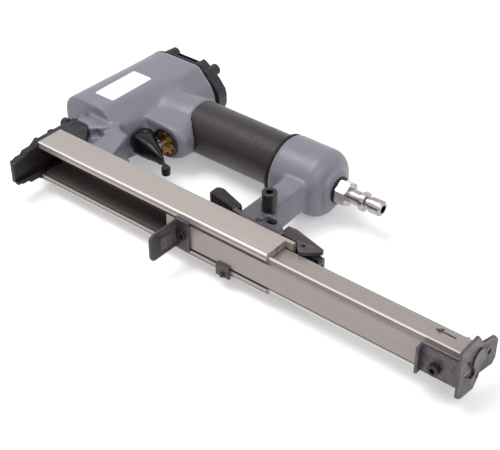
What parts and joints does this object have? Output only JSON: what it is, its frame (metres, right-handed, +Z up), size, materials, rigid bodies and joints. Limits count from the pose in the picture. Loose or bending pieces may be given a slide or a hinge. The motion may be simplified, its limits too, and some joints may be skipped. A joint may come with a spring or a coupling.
{
  "type": "pneumatic stapler",
  "caption": "Pneumatic fine-wire stapler with cast body, sleeved grip, air plug, trigger, nose and a long bottom-loading magazine drawn open.",
  "frame": {"origin": "centre of the bounding box on the plane that the tool lies on", "axes": "+X from the nose to the rear along the magazine, +Y from the staple outlet to the cylinder cap, +Z up through the flank that the tool lies on"},
  "size_m": [0.3256, 0.1584, 0.0452],
  "materials": {
    "cast_grey": "satin paint on cast light alloy",
    "black_cast": "black satin paint on cast light alloy",
    "black_steel": "blackened steel",
    "dark_sheet": "dark oiled sheet steel",
    "screw_black": "black oxide",
    "steel": "ground steel",
    "chrome": "nickel plated",
    "brass": "turned",
    "champagne": "satin anodised extrusion",
    "cast_alloy": "machined",
    "grip_rubber": "matt rubber",
    "seal_rubber": "matt",
    "black_gloss": "gloss",
    "black_matte": "matt",
    "label_white": "blank film"
  },
  "bodies": {
    "tool": {"housing": "cast_grey", "cylinder_cap": "black_cast", "exhaust_deflector": "black_matte", "cap_gasket": "seal_rubber", "cap_screws": "screw_black", "name_label": "label_white", "cylinder_sleeve": "cast_alloy", "sleeve_rings": "seal_rubber", "bumper": "seal_rubber", "head_valve_spring": "steel", "trigger_pin": "steel", "trigger_spring": "steel", "valve_body": "brass", "valve_collar": "chrome", "valve_spring": "steel", "grip_sleeve": "grip_rubber", "grip_end_ring": "seal_rubber", "air_plug": "chrome", "plug_seal": "seal_rubber", "rear_bolt": "screw_black", "nose_base": "black_steel", "nose_guide": "black_steel", "nose_front_plate": "black_steel", "nose_clamp_block": "black_steel", "nose_screws": "screw_black", "magazine_channel": "champagne", "channel_screws": "steel", "stop_block": "dark_sheet", "stop_screw": "steel", "latch_pin": "screw_black", "latch_spring": "steel", "end_buffer": "seal_rubber"},
    "slide": {"magazine_slide": "champagne", "front_bracket": "black_steel", "bracket_screws": "screw_black", "end_bracket": "dark_sheet", "end_screw": "screw_black", "latch_stud": "steel", "rod_anchor": "dark_sheet", "pusher_rod": "steel", "pusher_spring": "steel"},
    "pusher": {"pusher": "steel"},
    "trigger": {"trigger": "black_gloss"},
    "valve_stem": {"valve_stem": "steel"},
    "latch": {"latch_lever": "dark_sheet", "latch_pad": "black_matte"},
    "piston": {"piston": "cast_alloy", "piston_ring": "seal_rubber", "driver_blade": "steel"},
    "head_valve": {"head_valve": "black_matte"}
  },
  "joints": [
    {"name": "magazine_slide", "type": "slide", "parent": "tool", "child": "slide", "axis": [1, 0, 0], "range_m": [-0.1, 0.0198]},
    {"name": "staple_pusher", "type": "slide", "parent": "slide", "child": "pusher", "axis": [1, 0, 0], "range_m": [0, 0.128], "stiffness_N_per_m": 60, "springref_m": -0.05, "deforming": ["pusher_spring"]},
    {"name": "trigger_pull", "type": "hinge", "parent": "tool", "child": "trigger", "pos_m": [-0.1034, 0.0014, 0.0225], "axis": [0, 0, 1], "range_deg": [0, 15], "stiffness_Nm_per_rad": 0.8, "springref_deg": -11.46, "deforming": ["trigger_spring"]},
    {"name": "valve_stem_press", "type": "slide", "parent": "tool", "child": "valve_stem", "axis": [0, 1, 0], "range_m": [0, 0.003], "deforming": ["valve_spring"]},
    {"name": "latch_press", "type": "hinge", "parent": "tool", "child": "latch", "pos_m": [0.0122, -0.029, 0.0225], "axis": [0, 0, 1], "range_deg": [0, 10], "stiffness_Nm_per_rad": 1.5, "springref_deg": -8.59, "deforming": ["latch_spring"]},
    {"name": "piston_stroke", "type": "slide", "parent": "tool", "child": "piston", "axis": [0, -1, 0], "range_m": [0, 0.036]},
    {"name": "head_valve_lift", "type": "slide", "parent": "tool", "child": "head_valve", "axis": [0, 1, 0], "range_m": [0, 0.003], "stiffness_N_per_m": 3000, "springref_m": -0.002, "deforming": ["head_valve_spring"]}
  ],
  "couplings": [
    {"joint": "valve_stem_press", "follows": "trigger_pull", "m_per_rad": 0.0112}
  ]
}
